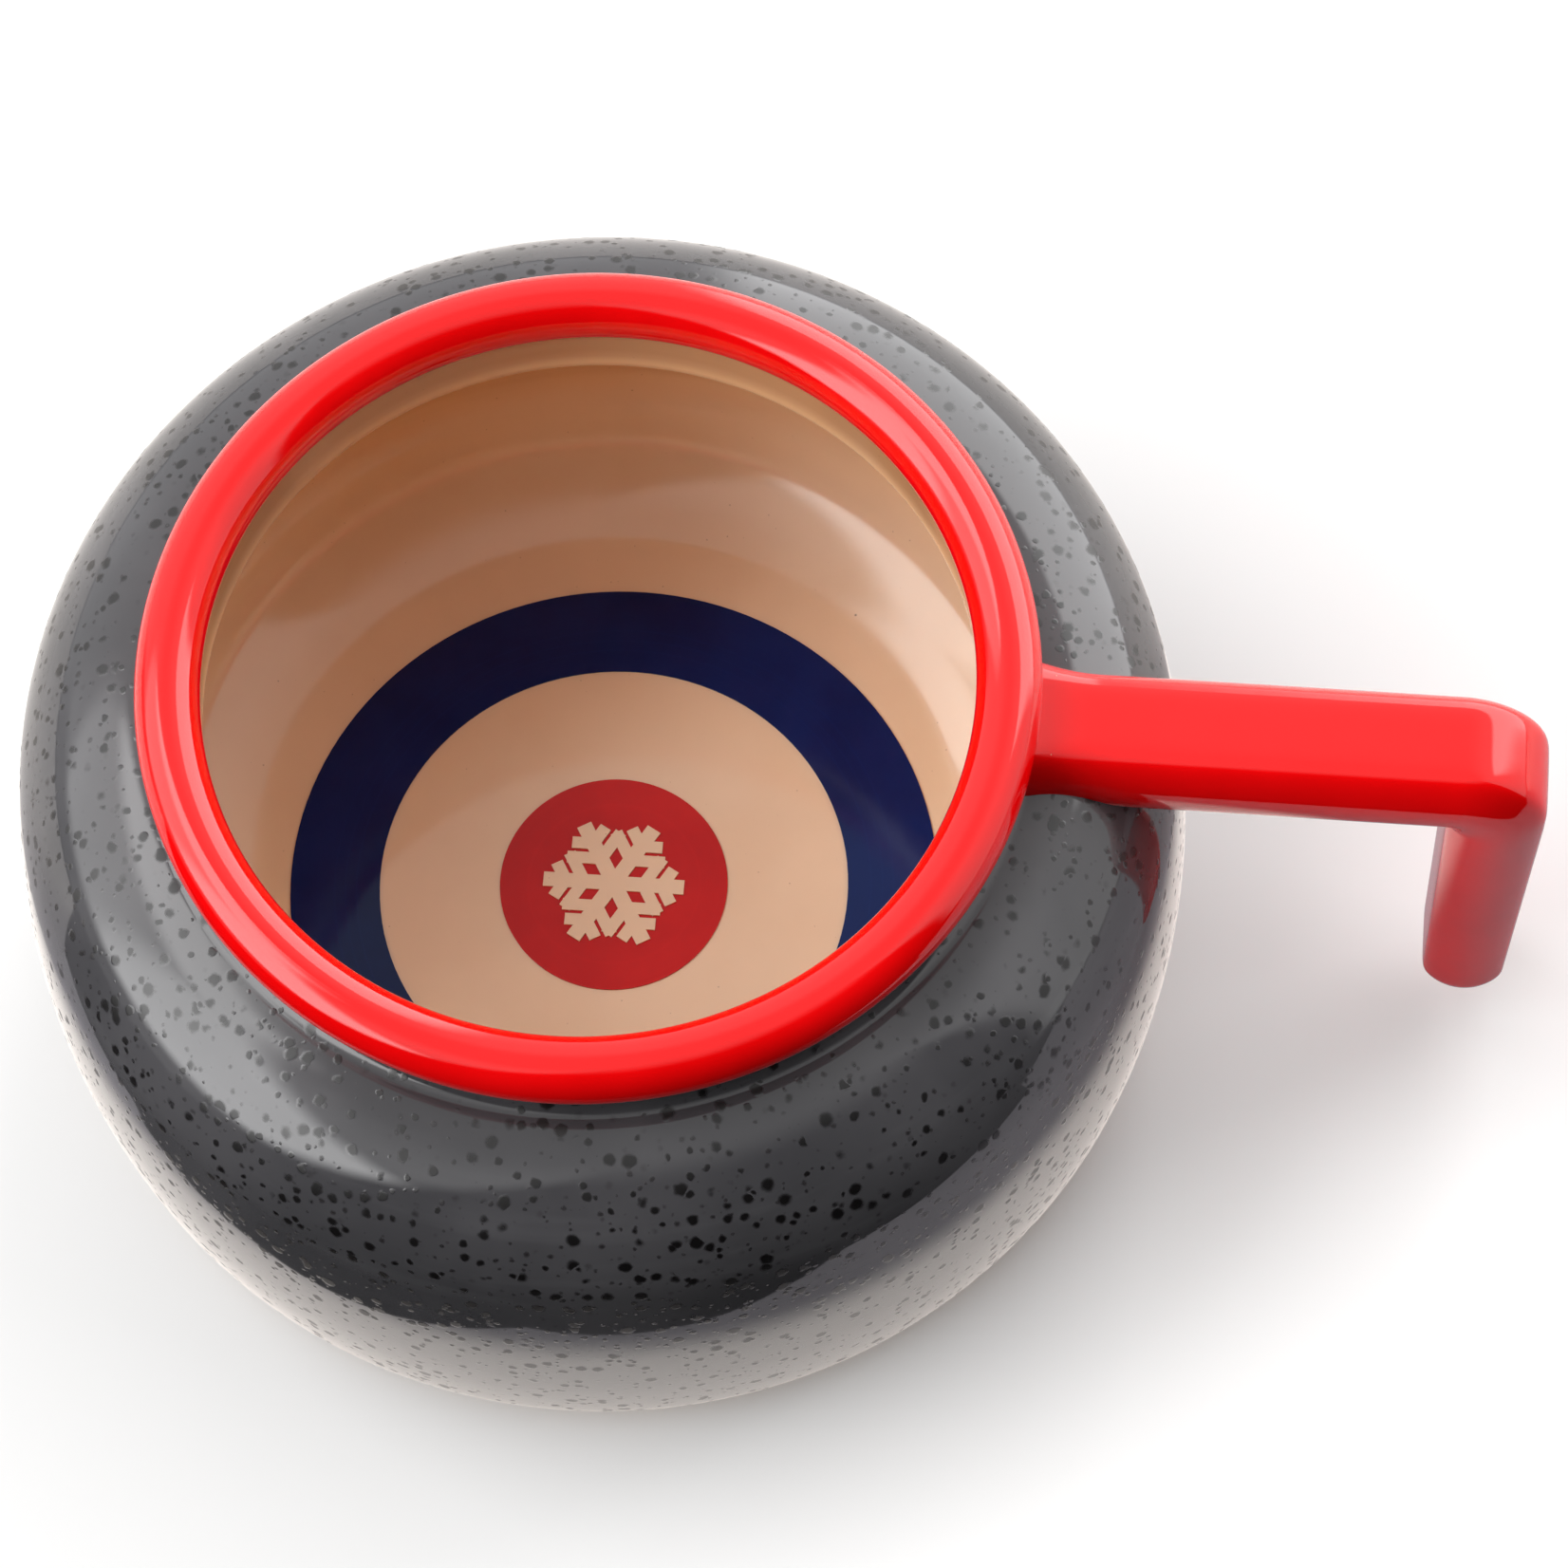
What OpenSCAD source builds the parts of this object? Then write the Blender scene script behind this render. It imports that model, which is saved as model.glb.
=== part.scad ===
// Glazed stoneware mug in the form of a curling stone.
// The pot's axis is Z, the foot stands on Z = 0 and the handle points along +X.

/* [Body] */
// Widest diameter of the glazed body
body_d = 124.8; // [118:0.2:132]
// Height of the widest line above the table
equator_z = 25.8; // [25:0.1:28]
// Radius of the upright side, seen in section
side_r = 110; // [90:1:120]
// Angle that the upright side spans above and below the widest line
side_angle = 9; // [6:0.5:10]
// Height of the top of the shoulder
shoulder_top_z = 56.5; // [55:0.5:58]
// Height of the underside of the body above the table
underside_z = 1.2; // [1:0.1:2.4]
// Wall thickness, glaze included
wall = 4.6; // [3.5:0.1:6]
// Height of the glazed floor inside the pot
floor_z = 8; // [6:0.5:11]
// Radius of the flat part of the floor
floor_r = 37.2; // [36:0.1:39]
// Radius of the flat unglazed foot
foot_r = 45; // [38:0.5:47]
// Bevel at the foot's edge
foot_bevel = 0.8; // [0.4:0.1:1.2]

/* [Neck and rim] */
// Outer radius of the neck
neck_r = 44.6; // [43.5:0.1:45.4]
// Inner radius of the neck
mouth_r = 40.4; // [40:0.1:41]
// Radius of the hollow where the shoulder turns up into the neck
neck_fillet = 2; // [1:0.1:2.4]
// Rounding of the inner edge where the shoulder meets the neck
throat_round = 3; // [1:0.1:3.4]
// Distance from the pot's axis to the middle of the rolled rim
rim_r = 43.2; // [42.6:0.1:43.8]
// Thickness of the rolled rim, glaze included
rim_d = 6.8; // [6:0.1:7.4]
// Height of the middle of the rolled rim
rim_z = 62.4; // [61:0.1:64]

/* [Handle] */
// Width of the bar across its two rounded flanks
bar_w = 12.5; // [11.5:0.1:14]
// Thickness of the bar between its two flat faces
bar_t = 9.3; // [8.4:0.1:10.4]
// Height of the middle of the arm
arm_z = 54.8; // [54:0.1:56]
// Distance from the pot's axis to the middle of the post
post_x = 94; // [88:0.1:100]
// Radius of the bend between arm and post, along the middle of the bar
bend_r = 4; // [3:0.1:4.6]
// Width of the post at its free end
end_w = 10.5; // [10:0.1:11.4]
// Thickness of the post at its free end
end_t = 7.9; // [7.2:0.1:8.4]
// Height of the post's free end above the table
post_end_z = 4.3; // [4:0.1:20]
// Length of the collar of clay that joins the bar to the neck
luting_l = 4.5; // [4:0.1:5]
// How far the collar stands out around the bar
luting_out = 0.8; // [0.6:0.1:1]

/* [Glaze and markings] */
// Thickness of the glaze coats
glaze_t = 0.5; // [0.3:0.05:0.8]
// Height at which the outer glaze stops above the table
glaze_line_z = 2.8; // [2.4:0.1:4]
// Thickness of the fired transfers on the floor
transfer_t = 0.2; // [0.1:0.05:0.4]
// Inner radius of the blue ring
ring_in_r = 25.9; // [22:0.1:28]
// Outer radius of the blue ring
ring_out_r = 35.8; // [33:0.1:36]
// Radius of the red button
button_r = 12.6; // [10:0.1:15]
// Reach of the snow crystal's arms from the centre
crystal_r = 7.8; // [6:0.1:9.5]
// Width of the crystal's arms
crystal_w = 1.7; // [1:0.1:2.4]

/* [Hidden] */
$fn = 96;
big = 200;                                    // larger than the pot, for trimming
body_r = body_d / 2;
side_x = body_r - side_r;                     // centre of the side's arc
tan_c = cos(side_angle);
tan_s = sin(side_angle);
// An arc that touches the side's arc at side_angle and a level line a height h away from the widest line
function end_arc_r(h) = (h - side_r * tan_s) / (1 - tan_s);
shoulder_h = shoulder_top_z - equator_z;
shoulder_r = end_arc_r(shoulder_h);
shoulder_x = side_x + (side_r - shoulder_r) * tan_c;
shoulder_z = shoulder_top_z - shoulder_r;
corner_h = equator_z - underside_z;
corner_r = end_arc_r(corner_h);
corner_x = side_x + (side_r - corner_r) * tan_c;
corner_z = underside_z + corner_r;
// The bowl's inner arc touches the floor at floor_r and the inside of the side
inner_side_r = side_r - wall;
bowl_dx = floor_r - side_x;
bowl_dz = floor_z - equator_z;
bowl_r = (inner_side_r * inner_side_r - bowl_dx * bowl_dx - bowl_dz * bowl_dz)
         / (2 * (inner_side_r + bowl_dz));
bowl_z = floor_z + bowl_r;
bowl_angle = atan2(bowl_z - equator_z, bowl_dx);
bead_r = rim_d / 2;
luting_bury = 1.2;                            // depth of the collar's root inside the neck
bend_x = post_x - bend_r;
bend_z = arm_z - bend_r;
dome_r = end_w / 2 + 0.2;                     // rounds the post's free end
clay_color = "#c9b79c";
grey_color = "#6b6d72";
cream_color = "#dcc0a0";
red_color = "#d8101a";
blue_color = "#0a1f78";

// A point of the arc of radius r about (x, z), at angle a above the level
function arc_point(x, z, r, a) = [x + r * cos(a), z + r * sin(a)];

// Half section of the body's outside, drawn inset from the glazed surface
module outside_section(inset = 0) {
    low = arc_point(side_x, equator_z, side_r - inset, -side_angle);
    high = arc_point(side_x, equator_z, side_r - inset, side_angle);
    polygon([[0, underside_z + inset], [corner_x, underside_z + inset], low, high,
             [shoulder_x, shoulder_top_z - inset], [0, shoulder_top_z - inset]]);
    translate([corner_x, corner_z]) circle(corner_r - inset);
    translate([shoulder_x, shoulder_z]) circle(shoulder_r - inset);
    intersection() {
        translate([side_x, equator_z]) circle(side_r - inset, $fn = 240);
        translate([0, low[1]]) square([big, high[1] - low[1]]);
    }
    neck_section(inset);
}

// Half section of the neck with the hollow at its foot
module neck_section(inset = 0) {
    r = neck_r - inset;
    z = shoulder_z + sqrt(pow(shoulder_r, 2) - pow(neck_r + neck_fillet - shoulder_x, 2)) - inset;
    base_z = shoulder_z;
    translate([0, base_z]) square([r, rim_z - base_z]);
    difference() {
        translate([r - 1, base_z]) square([neck_fillet + 1, z + neck_fillet - base_z]);
        translate([r + neck_fillet, z + neck_fillet]) circle(neck_fillet);
    }
}

// Half section of the hollow inside the pot, drawn outset from the glazed surface
module inside_section(outset = 0) {
    side = inner_side_r + outset;
    low = arc_point(side_x, equator_z, side, bowl_angle);
    high = arc_point(side_x, equator_z, side, side_angle);
    ceiling_r = shoulder_r - wall + outset;
    ceiling_z = shoulder_z + ceiling_r;
    polygon([[0, floor_z - outset], [floor_r, floor_z - outset], [floor_r, bowl_z], low, high,
             [shoulder_x, ceiling_z], [0, ceiling_z]]);
    intersection() {
        translate([floor_r, bowl_z]) circle(bowl_r + outset);
        translate([floor_r, floor_z - outset]) square([big, big]);
    }
    translate([shoulder_x, shoulder_z]) circle(ceiling_r);
    intersection() {
        translate([side_x, equator_z]) circle(side, $fn = 240);
        translate([0, low[1]]) square([big, high[1] - low[1]]);
    }
    mouth_section(outset, ceiling_z);
}

// Half section of the mouth, with the rounded edge below it
module mouth_section(outset, ceiling_z) {
    r = mouth_r + outset;
    round_r = throat_round - outset;
    translate([0, shoulder_z]) square([r, big]);
    difference() {
        translate([r - 1, shoulder_z]) square([round_r + 1, ceiling_z + round_r - shoulder_z]);
        translate([r + round_r, ceiling_z + round_r]) circle(round_r);
    }
}

module bead_section(inset = 0) {
    translate([rim_r, rim_z]) circle(bead_r - inset);
}

// The clay pot's half section
module clay_section() {
    difference() {
        union() {
            outside_section(glaze_t);
            polygon([[0, 0], [foot_r - foot_bevel, 0], [foot_r, foot_bevel],
                     [foot_r, underside_z + 1], [0, underside_z + 1]]);
        }
        inside_section(glaze_t);
        bead_section(glaze_t);
    }
}

// The bar's cross section, grown on all sides: a round with two flats, the flats square to X
module bar_section(grow = 0) {
    intersection() {
        circle(bar_w / 2 + grow);
        square([bar_t + 2 * grow, big], center = true);
    }
}

// The level arm from the rim to the bend
module arm(grow) {
    translate([rim_r, 0, arm_z]) rotate([0, 90, 0]) linear_extrude(bend_x - rim_r) bar_section(grow);
}

// The bend from the arm down into the post
module bend(grow) {
    translate([bend_x, 0, bend_z]) rotate([90, 0, 0]) rotate_extrude(angle = 90)
        intersection() {
            translate([bend_r, 0]) bar_section(grow);
            translate([0, -big / 2]) square(big);
        }
}

// The upright post, which narrows down to its domed free end
module post(grow) {
    low = post_end_z - grow;
    dome_z = post_end_z + dome_r;
    top_x = bar_t / 2 + grow;
    low_x = end_t / 2 + grow;
    translate([post_x, 0, 0]) intersection() {
        translate([0, 0, low]) cylinder(r1 = end_w / 2 + grow, r2 = bar_w / 2 + grow, h = bend_z - low);
        translate([0, big / 2, 0]) rotate([90, 0, 0]) linear_extrude(big)
            polygon([[-low_x, low], [low_x, low], [top_x, bend_z], [-top_x, bend_z]]);
        union() {
            translate([0, 0, dome_z]) sphere(dome_r + grow);
            translate([-big / 2, -big / 2, dome_z]) cube(big);
        }
    }
}

// The whole L-shaped bar
module bar(grow = 0) {
    arm(grow);
    bend(grow);
    post(grow);
}

// The collar of clay between bar and pot
module collar(grow = 0) {
    translate([neck_r - luting_bury, 0, arm_z]) rotate([0, 90, 0])
        linear_extrude(luting_l + grow) bar_section(luting_out + grow);
}

// Everything of the clay pot that the handle stops at
module clay_pot_mass() {
    rotate_extrude() {
        outside_section(glaze_t);
        bead_section(glaze_t);
    }
}

module stoneware_body() {
    color(clay_color) rotate_extrude() clay_section();
}

module rim_bead() {
    color(clay_color) rotate_extrude() bead_section(glaze_t);
}

module handle_bar() {
    color(clay_color) difference() {
        bar();
        clay_pot_mass();
    }
}

module handle_luting() {
    color(clay_color) difference() {
        collar();
        bar();
        clay_pot_mass();
    }
}

module outer_glaze() {
    color(grey_color) difference() {
        rotate_extrude() difference() {
            outside_section();
            outside_section(glaze_t);
            bead_section();
            translate([0, glaze_line_z - big]) square(big);
        }
        arm(glaze_t);
        collar(glaze_t);
    }
}

module liner_glaze() {
    color(cream_color) rotate_extrude() difference() {
        intersection() {
            inside_section(glaze_t);
            square([big, rim_z]);
        }
        inside_section();
        bead_section();
    }
}

module rim_glaze() {
    color(red_color) difference() {
        rotate_extrude() difference() {
            bead_section();
            bead_section(glaze_t);
            translate([mouth_r + glaze_t, 0]) square([neck_r - mouth_r - 2 * glaze_t, rim_z]);
        }
        arm(glaze_t);
        collar(glaze_t);
    }
}

module handle_glaze() {
    color(red_color) difference() {
        union() {
            bar(glaze_t);
            collar(glaze_t);
        }
        bar();
        collar();
        clay_pot_mass();
    }
}

module ring_transfer() {
    color(blue_color) translate([0, 0, floor_z]) linear_extrude(transfer_t) difference() {
        circle(ring_out_r);
        circle(ring_in_r);
    }
}

module button_transfer() {
    color(red_color) translate([0, 0, floor_z]) cylinder(r = button_r, h = transfer_t);
}

// One arm of the snow crystal with its two pairs of side twigs
module crystal_arm() {
    translate([0, -crystal_w / 2]) square([crystal_r, crystal_w]);
    for (reach = [0.42, 0.68], side = [-1, 1])
        translate([crystal_r * reach, 0]) rotate(side * 60)
            translate([0, -crystal_w * 0.4]) square([crystal_r * (0.78 - reach * 0.7), crystal_w * 0.8]);
}

module crystal_transfer() {
    color(cream_color) translate([0, 0, floor_z + transfer_t]) linear_extrude(transfer_t)
        for (k = [0:5]) rotate(60 * k) crystal_arm();
}

stoneware_body();
rim_bead();
handle_bar();
handle_luting();
outer_glaze();
liner_glaze();
rim_glaze();
handle_glaze();
ring_transfer();
button_transfer();
crystal_transfer();
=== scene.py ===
"""Glazed stoneware mug in the form of a curling stone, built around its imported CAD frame."""

import math

import bpy
import numpy as np
from mathutils import Matrix, Vector


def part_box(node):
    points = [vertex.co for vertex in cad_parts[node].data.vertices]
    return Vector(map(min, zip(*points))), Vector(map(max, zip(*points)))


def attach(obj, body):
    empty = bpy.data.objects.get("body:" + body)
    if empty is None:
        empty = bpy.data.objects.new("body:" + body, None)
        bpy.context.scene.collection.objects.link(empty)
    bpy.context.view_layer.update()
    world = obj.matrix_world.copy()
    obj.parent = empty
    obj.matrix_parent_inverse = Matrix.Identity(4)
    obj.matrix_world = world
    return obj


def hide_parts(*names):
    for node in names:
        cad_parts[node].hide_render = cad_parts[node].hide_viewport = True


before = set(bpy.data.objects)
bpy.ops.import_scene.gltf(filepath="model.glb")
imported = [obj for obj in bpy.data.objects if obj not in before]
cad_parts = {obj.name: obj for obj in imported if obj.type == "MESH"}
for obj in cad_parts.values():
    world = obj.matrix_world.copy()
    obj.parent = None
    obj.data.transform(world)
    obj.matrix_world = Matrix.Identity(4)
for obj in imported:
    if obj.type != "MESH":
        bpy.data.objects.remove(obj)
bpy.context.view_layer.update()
MM = 0.001

# ---------------------------------------------------------------- sizes, in metres, Z up from the table
GLAZE = 0.5 * MM                               # thickness of the glaze coats
BODY_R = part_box("outer_glaze")[1].y            # widest radius of the glazed pot
EQUATOR_Z = 25.8 * MM                          # height of the widest line
SIDE_R = 110 * MM                              # section radius of the upright side
SIDE_ANGLE = math.radians(9)                   # half the angle that the side's arc covers
SHOULDER_TOP_Z = 56.5 * MM                     # where the shoulder's arc would turn level
UNDERSIDE_Z = 1.2 * MM                         # where the lower corner's arc would turn level
WALL = 4.6 * MM
FLOOR_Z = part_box("ring_transfer")[0].z         # glazed floor inside the pot
FLOOR_R = 37.2 * MM                            # where the bowl's curve starts
NECK_R = 44.6 * MM                             # outside of the short neck under the rim
MOUTH_R = 40.4 * MM                            # inside of the mouth
NECK_FILLET = 2 * MM
THROAT_ROUND = 3 * MM                          # round edge between the shoulder's inside and the mouth
GLAZE_LINE_Z = 2.8 * MM                        # where the grey glaze ends above the foot
BEAD_R = 3.4 * MM                              # section radius of the rim's round bead
RIM_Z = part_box("rim_glaze")[1].z - BEAD_R
RIM_R = 43.2 * MM                              # radius of the bead's middle line

BAR_R = 6.75 * MM                              # the glazed bar: a round with two flats
BAR_T = 10.3 * MM                              # across the flats
ARM_Z = 54.8 * MM                              # middle of the level arm
BEND_R = 4 * MM                                # of the bar's middle line
POST_OUT_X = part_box("handle_glaze")[1].x
POST_X = POST_OUT_X - BAR_T / 2
POST_END_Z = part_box("handle_glaze")[0].z
POST_END_SHARE = 0.85                          # size of the post's free end against the arm
POST_LEAN = 0.35 * MM                          # how far the post's free end leans towards the pot
POST_DOME = 5.2 * MM                           # height of the dome that closes the post's free end
CROOK_R = 0.9 * MM                             # radius of the soft inner corner of the bend
FLARE_L, FLARE_OUT = 8 * MM, 1.3 * MM          # spread of the bar where it joins the neck
FLAT_POWER = 16                                # how crisply the bar's round sides meet its flats


# ---------------------------------------------------------------- mesh helpers
def mesh_object(name, verts, faces, material):
    """A smooth-shaded mesh object from lists of points and faces."""
    mesh = bpy.data.meshes.new(name)
    mesh.from_pydata([tuple(v) for v in verts], [], faces)
    mesh.validate()
    mesh.polygons.foreach_set("use_smooth", [True] * len(mesh.polygons))
    mesh.materials.append(material)
    obj = bpy.data.objects.new(name, mesh)
    bpy.context.scene.collection.objects.link(obj)
    return obj


def lathe(name, loop, material, segments=288):
    """Turns a closed half section about Z. Points on the axis become poles."""
    verts, rings = [], []
    for r, z in loop:
        if r < 1e-6:
            rings.append([len(verts)])
            verts.append((0, 0, z))
        else:
            start = len(verts)
            for k in range(segments):
                a = 2 * math.pi * k / segments
                verts.append((r * math.cos(a), r * math.sin(a), z))
            rings.append(list(range(start, start + segments)))
    faces = []
    for low, high in zip(rings, rings[1:] + rings[:1]):
        if len(low) == 1 and len(high) == 1:
            continue
        for k in range(segments):
            n = (k + 1) % segments
            if len(low) == 1:
                faces.append((low[0], high[n], high[k]))
            elif len(high) == 1:
                faces.append((low[k], low[n], high[0]))
            else:
                faces.append((low[k], low[n], high[n], high[k]))
    return mesh_object(name, verts, faces, material)


def arc(x, z, r, start, end, count):
    """Points of an arc about (x, z), from angle start to angle end."""
    return [(x + r * math.cos(a), z + r * math.sin(a)) for a in np.linspace(start, end, count)]


# ---------------------------------------------------------------- the pot's section
def end_arc_r(height):
    """Radius of the arc that joins the side at SIDE_ANGLE to a level line that far from the equator."""
    return (height - SIDE_R * math.sin(SIDE_ANGLE)) / (1 - math.sin(SIDE_ANGLE))


SIDE_X = BODY_R - SIDE_R
SHOULDER_R = end_arc_r(SHOULDER_TOP_Z - EQUATOR_Z)
SHOULDER_X = SIDE_X + (SIDE_R - SHOULDER_R) * math.cos(SIDE_ANGLE)
SHOULDER_Z = SHOULDER_TOP_Z - SHOULDER_R
CORNER_R = end_arc_r(EQUATOR_Z - UNDERSIDE_Z)
CORNER_X = SIDE_X + (SIDE_R - CORNER_R) * math.cos(SIDE_ANGLE)
CORNER_Z = UNDERSIDE_Z + CORNER_R


def outside_profile(inset):
    """The outside from the glaze line up to the rim, inset from the glazed surface."""
    low_angle = math.asin((GLAZE_LINE_Z - CORNER_Z) / (CORNER_R - inset))
    line = arc(CORNER_X, CORNER_Z, CORNER_R - inset, low_angle, -SIDE_ANGLE, 24)
    line += arc(SIDE_X, EQUATOR_Z, SIDE_R - inset, -SIDE_ANGLE, SIDE_ANGLE, 40)[1:]
    foot_x = NECK_R + NECK_FILLET
    foot_z = SHOULDER_Z + math.sqrt(SHOULDER_R ** 2 - (foot_x - SHOULDER_X) ** 2) - inset
    top_angle = math.acos((foot_x - SHOULDER_X) / (SHOULDER_R - inset))
    line += arc(SHOULDER_X, SHOULDER_Z, SHOULDER_R - inset, SIDE_ANGLE, top_angle, 48)[1:]
    line += arc(foot_x - inset, foot_z + NECK_FILLET, NECK_FILLET, -math.pi / 2, -math.pi, 12)[1:]
    line.append((NECK_R - inset, RIM_Z))
    return line


def inside_profile(outset):
    """The inside from the middle of the floor up to the rim, outset from the glazed surface."""
    side = SIDE_R - WALL
    dx, dz = FLOOR_R - SIDE_X, FLOOR_Z - EQUATOR_Z
    bowl_r = (side ** 2 - dx ** 2 - dz ** 2) / (2 * (side + dz))
    bowl_z = FLOOR_Z + bowl_r
    bowl_angle = math.atan2(bowl_z - EQUATOR_Z, dx)
    ceiling_r = SHOULDER_R - WALL + outset
    ceiling_z = SHOULDER_Z + ceiling_r
    throat_x = MOUTH_R + THROAT_ROUND
    line = [(r, FLOOR_Z - outset) for r in np.linspace(0, FLOOR_R, 26)]
    line += arc(FLOOR_R, bowl_z, bowl_r + outset, -math.pi / 2, bowl_angle, 56)[1:]
    line += arc(SIDE_X, EQUATOR_Z, side + outset, bowl_angle, SIDE_ANGLE, 28)[1:]
    line += arc(SHOULDER_X, SHOULDER_Z, ceiling_r, SIDE_ANGLE, math.pi / 2, 32)[1:]
    throat_z = ceiling_z + THROAT_ROUND - outset
    line += arc(throat_x, throat_z, THROAT_ROUND - outset, -math.pi / 2, -math.pi, 12)
    line += [(MOUTH_R + outset, z) for z in np.linspace(throat_z, RIM_Z, 16)[1:]]
    return line


# ---------------------------------------------------------------- the handle
def bar_loop(half_width, thickness, count=96):
    """Closed loop of the bar's cross section: (towards the outside, sideways)."""
    half = thickness / 2
    points = []
    for k in range(count):
        a = 2 * math.pi * k / count
        out = half * BAR_R / (BAR_T / 2) * math.sin(a)
        soft = (1 + abs(out / half) ** FLAT_POWER) ** (1 / FLAT_POWER)
        points.append((out / soft, half_width * math.cos(a)))
    return points


def bend_reach(px, pz, c, s):
    """Distance from the crook (px, pz) to the outside of the bend, in the direction (c, s)."""
    top, bend_x, bend_z = ARM_Z + BAR_T / 2, POST_X - BEND_R, ARM_Z - BEND_R
    if s > 0 and px + (top - pz) / s * c <= bend_x:
        return (top - pz) / s
    if c > 0 and pz + (POST_OUT_X - px) / c * s <= bend_z:
        return (POST_OUT_X - px) / c
    dx, dz, r = px - bend_x, pz - bend_z, BEND_R + BAR_T / 2
    b = dx * c + dz * s
    return -b + math.sqrt(b * b - (dx * dx + dz * dz - r * r))


def handle_sections():
    """Sections along the bar: middle, outward direction, half width and thickness."""
    sections = []
    px, pz = POST_OUT_X - BAR_T - CROOK_R, ARM_Z - BAR_T / 2 - CROOK_R
    flare_end = NECK_R + FLARE_L
    for x in [*np.linspace(RIM_R, flare_end, 28), *np.linspace(flare_end, px, 30)[1:]]:
        spread = FLARE_OUT * (1 - min(max((x - NECK_R) / FLARE_L, 0), 1)) ** 2
        sections.append(((x, ARM_Z), (0, 1), BAR_R + spread, BAR_T + 2 * spread))
    for theta in np.linspace(math.pi / 2, 0, 48)[1:]:
        c, s = math.cos(theta), math.sin(theta)
        reach = bend_reach(px, pz, c, s)
        mid = (CROOK_R + reach) / 2
        sections.append(((px + mid * c, pz + mid * s), (c, s), BAR_R, reach - CROOK_R))
    low = POST_END_Z + POST_DOME
    for z in np.linspace(pz, low, 36)[1:]:
        t = (pz - z) / (pz - POST_END_Z)
        k = 1 + (POST_END_SHARE - 1) * t
        sections.append(((POST_X - POST_LEAN * t, z), (1, 0), BAR_R * k, BAR_T * k))
    (x, z), out, half_width, thickness = sections[-1]
    for a in np.linspace(0, math.pi / 2, 20)[1:-1]:
        k = math.cos(a)
        sections.append(((x, low - POST_DOME * math.sin(a)), out, half_width * k, thickness * k))
    return sections


def build_handle(material):
    """The bar swept from the rim to the post's domed free end."""
    verts, faces = [], []
    sections = handle_sections()
    for (x, z), (out_x, out_z), half_width, thickness in sections:
        for out, side in bar_loop(half_width, thickness):
            verts.append((x + out_x * out, side, z + out_z * out))
    count = len(verts) // len(sections)
    for ring in range(len(sections) - 1):
        for k in range(count):
            n = (k + 1) % count
            a, b = ring * count, (ring + 1) * count
            faces.append((a + k, b + k, b + n, a + n))
    faces.append(tuple(range(count)))
    last, tip = (len(sections) - 1) * count, len(verts)
    verts.append((sections[-1][0][0], 0, POST_END_Z))
    for k in range(count):
        faces.append((last + k, tip, last + (k + 1) % count))
    return mesh_object("red_handle", verts, faces, material)


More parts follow.
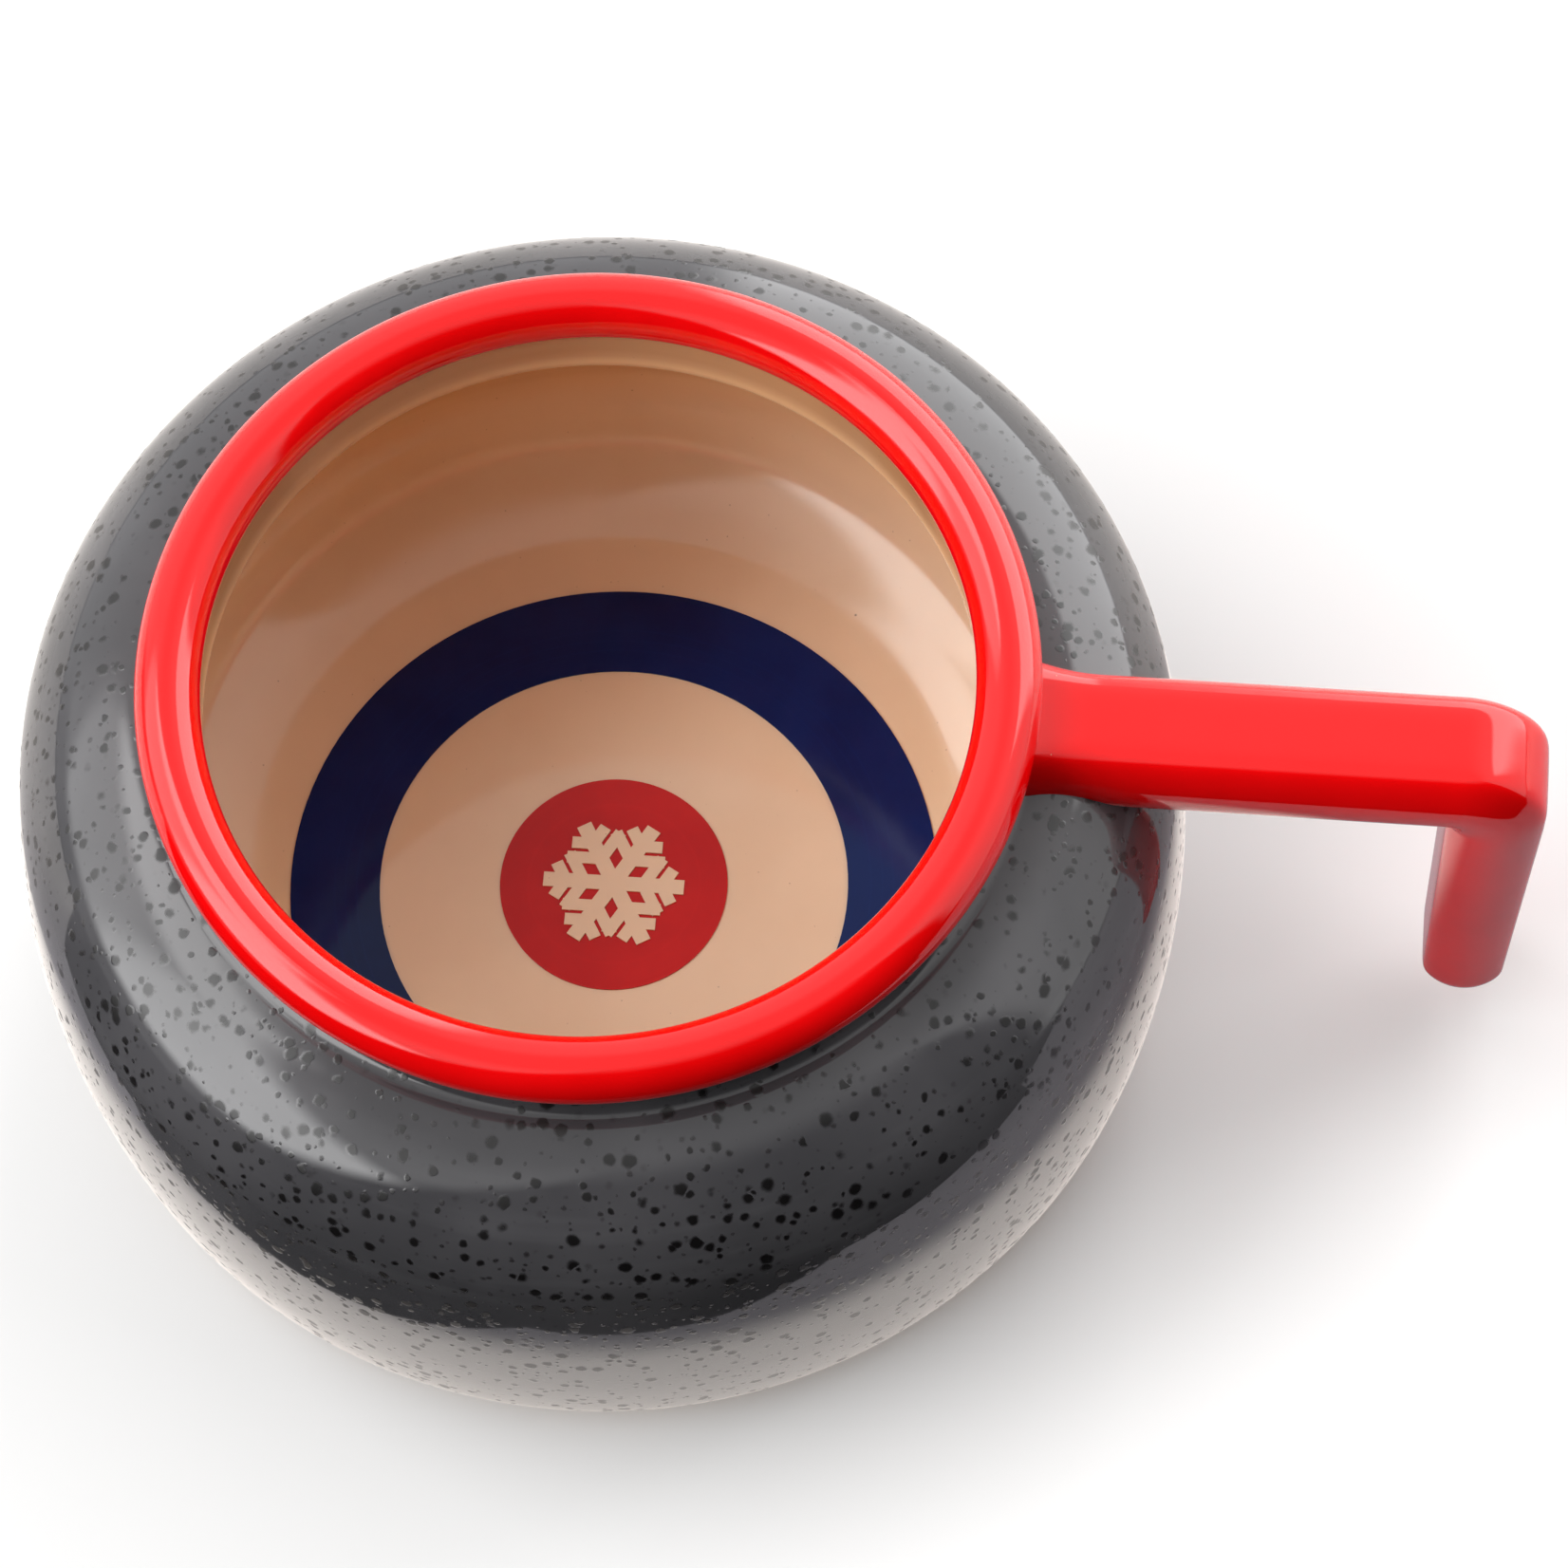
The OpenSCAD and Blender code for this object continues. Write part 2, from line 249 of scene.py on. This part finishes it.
# ---------------------------------------------------------------- materials
class Nodes:
    """Small helper that builds one node tree. Its place is a point of the object,
    or a direction of the world."""

    def __init__(self, owner, place="Object"):
        owner.use_nodes = True
        self.owner = owner
        self.tree = owner.node_tree
        self.shader = self.tree.nodes.get("Principled BSDF")
        self.place = self.add("ShaderNodeTexCoord").outputs[place]

    def add(self, kind, **values):
        node = self.tree.nodes.new(kind)
        for key, value in values.items():
            setattr(node, key, value)
        return node

    def link(self, a, b):
        self.tree.links.new(a, b)

    def feed(self, socket, value):
        if isinstance(value, bpy.types.NodeSocket):
            self.link(value, socket)
        else:
            socket.default_value = value

    def math(self, operation, a, b=0.0, c=0.0):
        node = self.add("ShaderNodeMath", operation=operation)
        for socket, value in zip(node.inputs, (a, b, c)):
            self.feed(socket, value)
        return node.outputs[0]

    def noise(self, scale, detail=3.0, roughness=0.5, place=None, output="Fac"):
        """Noise with that many cells in a metre."""
        node = self.add("ShaderNodeTexNoise")
        self.link(place or self.place, node.inputs["Vector"])
        node.inputs["Scale"].default_value = scale
        node.inputs["Detail"].default_value = detail
        node.inputs["Roughness"].default_value = roughness
        return node.outputs[output]

    def smooth(self, value, low, high, out_low=0.0, out_high=1.0):
        """A soft step from out_low to out_high as the value goes from low to high."""
        node = self.add("ShaderNodeMapRange", interpolation_type="SMOOTHSTEP")
        for key, v in (("Value", value), ("From Min", low), ("From Max", high),
                       ("To Min", out_low), ("To Max", out_high)):
            self.feed(node.inputs[key], v)
        return node.outputs["Result"]

    def mix(self, share, a, b):
        """Colour a, with that share of colour b."""
        node = self.add("ShaderNodeMix", data_type="RGBA")
        self.feed(node.inputs["Factor"], share)
        self.feed(node.inputs["A"], a)
        self.feed(node.inputs["B"], b)
        return node.outputs["Result"]

    def mix_value(self, share, a, b):
        """Value a, with that share of value b."""
        node = self.add("ShaderNodeMix", data_type="FLOAT")
        for key, value in (("Factor", share), ("A", a), ("B", b)):
            self.feed(node.inputs[key], value)
        return node.outputs["Result"]

    def axes(self, vector=None):
        """X, Y and Z of a vector, or of the place."""
        split = self.add("ShaderNodeSeparateXYZ")
        self.link(vector or self.place, split.inputs[0])
        return split.outputs[:3]

    def length(self, vector=None):
        """Length of a vector, or the place's distance from the origin."""
        node = self.add("ShaderNodeVectorMath", operation="LENGTH")
        self.link(vector or self.place, node.inputs[0])
        return node.outputs["Value"]

    def scaled(self, across, up):
        """The place, scaled across and up, so that noise comes out in level bands."""
        node = self.add("ShaderNodeMapping")
        self.link(self.place, node.inputs["Vector"])
        node.inputs["Scale"].default_value = (across, across, up)
        return node.outputs[0]

    def turned_back(self):
        """The place, turned so that Y points straight away from the camera's side."""
        turn = self.add("ShaderNodeMapping")
        self.link(self.place, turn.inputs["Vector"])
        turn.inputs["Rotation"].default_value = (0, 0, -VIEW_TURN)
        return turn.outputs[0]

    def shaken(self, scale, amount):
        """The place, shifted a little by noise, so that round spots turn irregular."""
        noise = self.noise(scale, detail=1.0, output="Color")
        shift = self.add("ShaderNodeVectorMath", operation="MULTIPLY_ADD")
        self.link(noise, shift.inputs[0])
        shift.inputs[1].default_value = (amount, amount, amount)
        self.link(self.place, shift.inputs[2])
        return shift.outputs[0]

    def spots(self, cell, small, large, share, place, soft=0.12):
        """Round spots, one at most in each cell of that size, with radii from small to large.
        share is the part of the cells that has one. All sizes are in metres."""
        node = self.add("ShaderNodeTexVoronoi")
        self.link(place, node.inputs["Vector"])
        node.inputs["Scale"].default_value = 1 / cell
        split = self.add("ShaderNodeSeparateColor")
        self.link(node.outputs["Color"], split.inputs[0])
        size = self.math("MULTIPLY", split.outputs[0], split.outputs[0])
        radius = self.math("MULTIPLY_ADD", size, (large - small) / cell, small / cell)
        edge = self.math("MULTIPLY", radius, 1 + soft)
        inner = self.math("MULTIPLY", radius, 1 - 2.5 * soft)
        disc = self.smooth(node.outputs["Distance"], inner, edge, 1.0, 0.0)
        there = self.math("LESS_THAN", split.outputs[1], share)
        return self.math("MULTIPLY", disc, there)

    def bump(self, height, distance, normal=None):
        """Normal of a relief that deep, on top of another normal if one is given."""
        node = self.add("ShaderNodeBump")
        self.link(height, node.inputs["Height"])
        node.inputs["Distance"].default_value = distance
        node.inputs["Strength"].default_value = 1.0
        if normal:
            self.link(normal, node.inputs["Normal"])
        return node.outputs["Normal"]

    def finish(self, color, roughness, normal=None, ior=1.55):
        """Feeds the Principled shader and returns the finished material."""
        self.feed(self.shader.inputs["Base Color"], color)
        self.feed(self.shader.inputs["Roughness"], roughness)
        self.shader.inputs["IOR"].default_value = ior
        if normal:
            self.link(normal, self.shader.inputs["Normal"])
        return self.owner


def grey_glaze():
    """Grey glaze, a little streaky round the pot, with black and brown-black iron speckles."""
    dark, light, pale = (0.050, 0.049, 0.053, 1), (0.074, 0.072, 0.077, 1), (0.095, 0.093, 0.099, 1)
    faint_iron, small_iron = (0.022, 0.020, 0.021, 1), (0.012, 0.010, 0.011, 1)
    large_iron = (0.0035, 0.0028, 0.003, 1)
    n = Nodes(bpy.data.materials.new("grey_speckled_glaze"))
    tone = n.noise(38, detail=4)
    streak = n.noise(1.0, detail=3, place=n.scaled(30, 420))
    base = n.mix(n.smooth(tone, 0.35, 0.68), dark, light)
    base = n.mix(n.smooth(streak, 0.5, 0.75, 0.0, 0.30), base, pale)
    crowd = n.noise(46, detail=2)
    z = n.axes()[2]
    fewer = n.smooth(z, 51 * MM, 57 * MM, 0.0, 0.15)          # fewer speckles by the neck
    share = n.math("SUBTRACT", n.smooth(crowd, 0.30, 0.60, 0.70, 1.0), fewer)
    large = n.spots(1.75 * MM, 0.34 * MM, 0.86 * MM, share, n.shaken(1100, 0.5 * MM), soft=0.16)
    small = n.spots(1.25 * MM, 0.14 * MM, 0.38 * MM, share, n.shaken(1900, 0.3 * MM), soft=0.25)
    faint = n.spots(1.7 * MM, 0.16 * MM, 0.48 * MM, 0.8, n.shaken(1500, 0.4 * MM), soft=0.35)
    color = n.mix(n.math("MULTIPLY", faint, 0.45), base, faint_iron)
    color = n.mix(n.math("MULTIPLY", small, 0.9), color, small_iron)
    color = n.mix(large, color, large_iron)
    iron = n.math("MAXIMUM", large, small)
    normal = n.bump(n.noise(120, detail=2), 0.02 * MM)
    normal = n.bump(iron, 0.012 * MM, normal=normal)
    gloss = n.smooth(tone, 0.2, 0.8, 0.035, 0.065)
    roughness = n.math("MULTIPLY_ADD", iron, 0.28, gloss)     # the iron comes through duller
    return n.finish(color, roughness, normal, ior=1.6)


def cream_glaze(name="cream_glaze"):
    """Cream glaze, paler on the floor, with faint throwing rings up the wall and fine brown specks, and
    painted shade that darkens the throat under the rim.
    """
    floor_dark, floor_light = (0.81, 0.60, 0.42, 1), (0.86, 0.66, 0.48, 1)
    wall_color, ring_color = (0.87, 0.57, 0.31, 1), (0.66, 0.39, 0.21, 1)
    # painted shade: the colour of the throat under the rim, where the rim shades the inside
    throat_shade_color = (0.42, 0.21, 0.09, 1)
    fleck_color, speck_color = (0.25, 0.13, 0.07, 1), (0.09, 0.045, 0.03, 1)
    n = Nodes(bpy.data.materials.new(name))
    tone = n.noise(45, detail=4)
    z = n.axes()[2]
    base = n.mix(n.smooth(tone, 0.3, 0.7), floor_dark, floor_light)
    base = n.mix(n.smooth(z, 12 * MM, 26 * MM), base, wall_color)
    rings = n.noise(1.0, detail=4, place=n.scaled(12, 520))
    wall = n.smooth(z, 12 * MM, 34 * MM)
    ring_share = n.math("MULTIPLY", n.smooth(rings, 0.42, 0.72), n.math("MULTIPLY", wall, 0.30))
    base = n.mix(ring_share, base, ring_color)
    # painted shade: the cream turns dark brown towards the mouth, where the rim shades the inside
    base = n.mix(n.smooth(z, 53 * MM, 58 * MM, 0.0, 0.85), base, throat_shade_color)
    flecks = n.spots(1.15 * MM, 0.04 * MM, 0.12 * MM, 0.42, n.shaken(4000, 0.1 * MM), soft=0.3)
    specks = n.spots(4.2 * MM, 0.08 * MM, 0.2 * MM, 0.5, n.shaken(3000, 0.1 * MM), soft=0.3)
    color = n.mix(n.math("MULTIPLY", flecks, 0.45), base, fleck_color)
    color = n.mix(n.math("MULTIPLY", specks, 0.8), color, speck_color)
    normal = n.bump(n.noise(95, detail=2), 0.02 * MM)
    normal = n.bump(n.math("MULTIPLY", rings, wall), 0.05 * MM, normal=normal)
    return n.finish(color, n.smooth(tone, 0.2, 0.8, 0.06, 0.11), normal, ior=1.55)


def red_glaze():
    """Bright red glossy glaze with a few small dark pits."""
    dark, light, pit_color = (0.76, 0.0012, 0.002, 1), (0.84, 0.002, 0.003, 1), (0.25, 0.002, 0.004, 1)
    n = Nodes(bpy.data.materials.new("red_glaze"))
    tone = n.noise(70, detail=3)
    color = n.mix(n.smooth(tone, 0.3, 0.7), dark, light)
    pits = n.spots(2.3 * MM, 0.05 * MM, 0.13 * MM, 0.12, n.shaken(3000, 0.1 * MM), soft=0.3)
    color = n.mix(n.math("MULTIPLY", pits, 0.35), color, pit_color)
    normal = n.bump(n.noise(150, detail=2), 0.02 * MM)
    return n.finish(color, n.smooth(tone, 0.2, 0.8, 0.04, 0.08), normal, ior=1.55)


STREAK_AND_SHEEN_PALENESS = 2.2                              # how much paler a transfer's streaks are: partly brush marks, partly a painted highlight of the gloss's ripples
TRANSFER_IOR = 1.32                            # a weak gloss, so that the blue stays deep


def transfer(name, dark, light, streaks):
    """A fired transfer under a clear gloss: a little tone, and paler streaks round the pot's axis,
    partly brush marks and partly painted highlight.
    """
    n = Nodes(bpy.data.materials.new(name))
    tone = n.noise(60, detail=4)
    turning = n.add("ShaderNodeCombineXYZ")
    n.link(n.math("MULTIPLY", n.length(), 900), turning.inputs[0])
    streak = n.noise(1.0, detail=3, place=turning.outputs[0])
    color = n.mix(n.smooth(tone, 0.3, 0.7), dark, light)
    pale = tuple(min(1, STREAK_AND_SHEEN_PALENESS * c) for c in light[:3]) + (1,)
    # partly painted highlight: the pale streaks stand for window light in the gloss's ripples, as well
    # as for brush marks
    color = n.mix(n.smooth(streak, 0.55, 0.8, 0.0, streaks), color, pale)
    normal = n.bump(n.noise(110, detail=2), 0.025 * MM)
    normal = n.bump(streak, 0.006 * MM, normal=normal)
    return n.finish(color, n.smooth(tone, 0.2, 0.8, 0.05, 0.1), normal, ior=TRANSFER_IOR)


def stoneware():
    """Bare fired clay: patchy, grainy and dull, with dark grog."""
    dark, light = (0.47, 0.34, 0.22, 1), (0.58, 0.45, 0.31, 1)
    grain_color, grog_color = (0.36, 0.25, 0.16, 1), (0.16, 0.09, 0.05, 1)
    n = Nodes(bpy.data.materials.new("bare_stoneware"))
    grain = n.noise(900, detail=5, roughness=0.65)
    patch = n.noise(40, detail=3)
    base = n.mix(n.smooth(patch, 0.3, 0.7), dark, light)
    base = n.mix(n.smooth(grain, 0.4, 0.7, 0.0, 0.5), base, grain_color)
    grog = n.spots(2.2 * MM, 0.08 * MM, 0.3 * MM, 0.5, n.shaken(2500, 0.2 * MM), soft=0.3)
    color = n.mix(n.math("MULTIPLY", grog, 0.7), base, grog_color)
    normal = n.bump(grain, 0.08 * MM)
    return n.finish(color, n.smooth(grain, 0.3, 0.7, 0.75, 0.92), normal, ior=1.45)


# ---------------------------------------------------------------- the pieces
def close(front, back):
    """One closed loop from a front line and the line behind it."""
    return front + back[::-1]


def build_pieces():
    grey, cream, red, clay = grey_glaze(), cream_glaze(), red_glaze(), stoneware()
    blue = transfer("blue_transfer", (0.003, 0.011, 0.085, 1), (0.004, 0.018, 0.125, 1), 0.4)
    button_red = transfer("red_transfer", (0.50, 0.006, 0.007, 1), (0.60, 0.010, 0.010, 1), 0.12)

    outside = close(outside_profile(0), outside_profile(GLAZE))
    body = lathe("grey_body_glaze", outside, grey)
    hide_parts("outer_glaze")

    inside = close(inside_profile(0)[::-1], inside_profile(GLAZE)[::-1])
    liner = lathe("cream_liner_glaze", inside, cream)
    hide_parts("liner_glaze")

    bead = arc(RIM_R, RIM_Z, BEAD_R, 0, 2 * math.pi, 73)[:-1]
    rim = lathe("red_rim", bead, red)
    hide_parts("rim_glaze")

    handle = build_handle(red)
    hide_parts("handle_glaze")

    for piece in (body, liner, rim, handle):
        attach(piece, "root")

    finishes = {"ring_transfer": blue, "button_transfer": button_red,
                "crystal_transfer": cream_glaze("crystal_cream"), "stoneware_body": clay,
                "rim_bead": clay, "handle_bar": clay, "handle_luting": clay}
    for node, material in finishes.items():
        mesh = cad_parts[node].data
        mesh.materials.clear()
        mesh.materials.append(material)


# ---------------------------------------------------------------- camera, stage and light
VIEW_TURN = math.radians(11.79)                # the camera stands this far round from straight in front
SENSOR, FOCAL = 36, 141.6465                   # mm
VIEW_ELEVATION = math.radians(66.85)
VIEW_DISTANCE = 682.4 * MM
VIEW_YAW, VIEW_PITCH, VIEW_ROLL = (math.radians(a) for a in (-1.684, 0.726, 7.2))


def staged(right, away, up):
    """A point given to the right, away from the camera and up, from the foot's centre."""
    return Matrix.Rotation(VIEW_TURN, 4, "Z") @ Vector((right, away, up))


def build_camera():
    eye = Vector((0, -math.cos(VIEW_ELEVATION), math.sin(VIEW_ELEVATION))) * VIEW_DISTANCE
    ahead = -eye.normalized()
    right = Vector((1, 0, 0))
    up = right.cross(ahead)
    turn = Matrix.Rotation(VIEW_YAW, 3, up)
    ahead, right = turn @ ahead, turn @ right
    turn = Matrix.Rotation(VIEW_PITCH, 3, right)
    ahead, up = turn @ ahead, turn @ up
    turn = Matrix.Rotation(VIEW_ROLL, 3, ahead)
    right, up = turn @ right, turn @ up
    data = bpy.data.cameras.new("camera")
    data.lens = FOCAL
    data.sensor_width = SENSOR
    data.clip_start, data.clip_end = 0.01, 50
    camera = bpy.data.objects.new("camera", data)
    bpy.context.scene.collection.objects.link(camera)
    axes = Matrix((right, up, -ahead)).transposed().to_4x4()
    shift = Matrix.Translation(eye + Vector((0, 0, FLOOR_Z)))
    camera.matrix_world = Matrix.Rotation(VIEW_TURN, 4, "Z") @ shift @ axes
    bpy.context.scene.camera = camera


def flat(name, points, material):
    """A level polygon of the stage."""
    obj = mesh_object(name, points, [tuple(range(len(points)))], material)
    return obj


FLOOR_SIZE = 3.0                               # half its side, in metres
SHEET_DEPTH = 0.05 * MM                        # how far the sheet lies below the floor
SHEET_GLOW_FROM, SHEET_GLOW_TO = 72 * MM, 82 * MM      # the sheet's painted light, glowing near the pot, fades out between these
SHEET_EDGE = [(-24, -80), (40, -87), (120, -92), (165, -125), (1500, -600), (1500, 1500),
              (-1500, 1500), (-1500, 250), (-135, 0), (-75, -30), (-58, -50)]  # mm right and away


def build_stage():
    """The floor the camera sees, and a sheet under it that stands for the floor in the reflections. Near
    the pot the sheet glows: painted light that hides the pot's shadow on it.
    """
    n = Nodes(bpy.data.materials.new("pale_floor"))
    n.finish((0.86, 0.855, 0.85, 1), 0.6)
    n.shader.inputs["Specular IOR Level"].default_value = 0.1
    corners = [(-1, -1), (1, -1), (1, 1), (-1, 1)]
    floor = flat("floor", [(x * FLOOR_SIZE, y * FLOOR_SIZE, 0) for x, y in corners], n.owner)
    floor.visible_glossy = False
    floor.visible_diffuse = False
    floor.visible_shadow = False

    n = Nodes(bpy.data.materials.new("pale_sheet"))
    turned = n.turned_back()
    distance = n.length(turned)
    away = n.axes(turned)[1]
    far = n.smooth(distance, SHEET_GLOW_FROM, SHEET_GLOW_TO)
    front = n.smooth(away, -20 * MM, 60 * MM, 1.0, 0.0)
    shade = n.math("MULTIPLY", far, front)
    n.finish(n.mix(shade, (0.86, 0.81, 0.77, 1), (0.38, 0.36, 0.39, 1)), 0.6)
    # painted light: near the pot the sheet glows, so that the pot's own shadow on it stays out of the
    # reflections
    n.shader.inputs["Emission Color"].default_value = (1, 0.92, 0.87, 1)
    painted_glow = n.smooth(distance, SHEET_GLOW_FROM, SHEET_GLOW_TO, 0.5, 0.0)
    n.link(painted_glow, n.shader.inputs["Emission Strength"])
    n.shader.inputs["Specular IOR Level"].default_value = 0.1
    sheet = flat("sheet", [staged(x * MM, y * MM, -SHEET_DEPTH) for x, y in SHEET_EDGE], n.owner)
    sheet.visible_camera = False
    sheet.visible_shadow = False
    sheet.visible_transmission = False


WALL_LIGHT, CEILING_LIGHT, DARK_LIGHT = 1.1, 0.68, 0.01       # radiance of the room's parts
SKIRTING_LOSS = 0.7                            # how much darker the left wall is near the floor
LEFT_WINDOW_LIGHT, LEFT_WINDOW_MORE = 1.4, 2.6         # its dimmer part, and what the rest adds
RIGHT_WINDOW_LIGHT = 3.0
BACKDROP_LIGHT = 1.0                           # what the camera sees beyond the floor


def build_light():
    """A room seen from the pot: a dim front, a pale back wall, a large window to the left and one to
    the right at the back, and a soft ceiling. Angles are in degrees, 0 straight away from the camera."""
    n = Nodes(bpy.data.worlds.new("studio"), "Generated")
    bpy.context.scene.world = n.owner
    across, away, up = n.axes(n.turned_back())
    right = n.math("MULTIPLY", n.math("ARCTAN2", across, away), 180 / math.pi)
    height = n.math("MULTIPLY", n.math("ARCSINE", up), 180 / math.pi)
    left = n.math("MULTIPLY", right, -1.0)

    def above(value, low, high):
        """1 past the high edge and 0 below the low one."""
        return n.smooth(value, low, high)

    def below(value, low, high):
        """1 below the low edge and 0 past the high one."""
        return n.smooth(value, low, high, 1.0, 0.0)

    def sloped(slope, value, base):
        """slope * value + base."""
        return n.math("MULTIPLY_ADD", value, slope, base)

    def part(*factors):
        """The product of all the factors."""
        total = factors[0]
        for factor in factors[1:]:
            total = n.math("MULTIPLY", total, factor)
        return total

    lit = part(below(right, 113, 119), below(sloped(-0.9, height, left), 104, 116))
    ceiling = above(height, 50, 74)
    skirting = part(above(left, 50, 60), below(height, 6, 14))
    wall = part(lit, sloped(-SKIRTING_LOSS, skirting, WALL_LIGHT))
    full = n.math("MAXIMUM", above(left, 78, 90), above(height, 46, 56))
    left_window = part(lit, above(sloped(0.55, height, left), 67, 73),
                       above(height, 5, 14), below(height, 66, 74),
                       below(sloped(0.6, left, height), 110, 122),
                       sloped(LEFT_WINDOW_MORE, full, LEFT_WINDOW_LIGHT))
    right_window = part(lit, above(right, 10, 17), below(right, 73, 79),
                        below(height, 43, 48), RIGHT_WINDOW_LIGHT)
    room = n.mix_value(ceiling, wall, CEILING_LIGHT)
    for window in (left_window, right_window):
        room = n.math("ADD", room, window)
    room = n.math("MULTIPLY_ADD", room, above(height, -3, 1), DARK_LIGHT)
    path = n.add("ShaderNodeLightPath")
    strength = n.mix_value(path.outputs["Is Camera Ray"], room, BACKDROP_LIGHT)
    background = n.tree.nodes["Background"]
    background.inputs["Color"].default_value = (1, 1, 1, 1)
    n.link(strength, background.inputs["Strength"])


build_camera()
build_pieces()
build_stage()
build_light()
bpy.context.scene.view_settings.view_transform = "Standard"
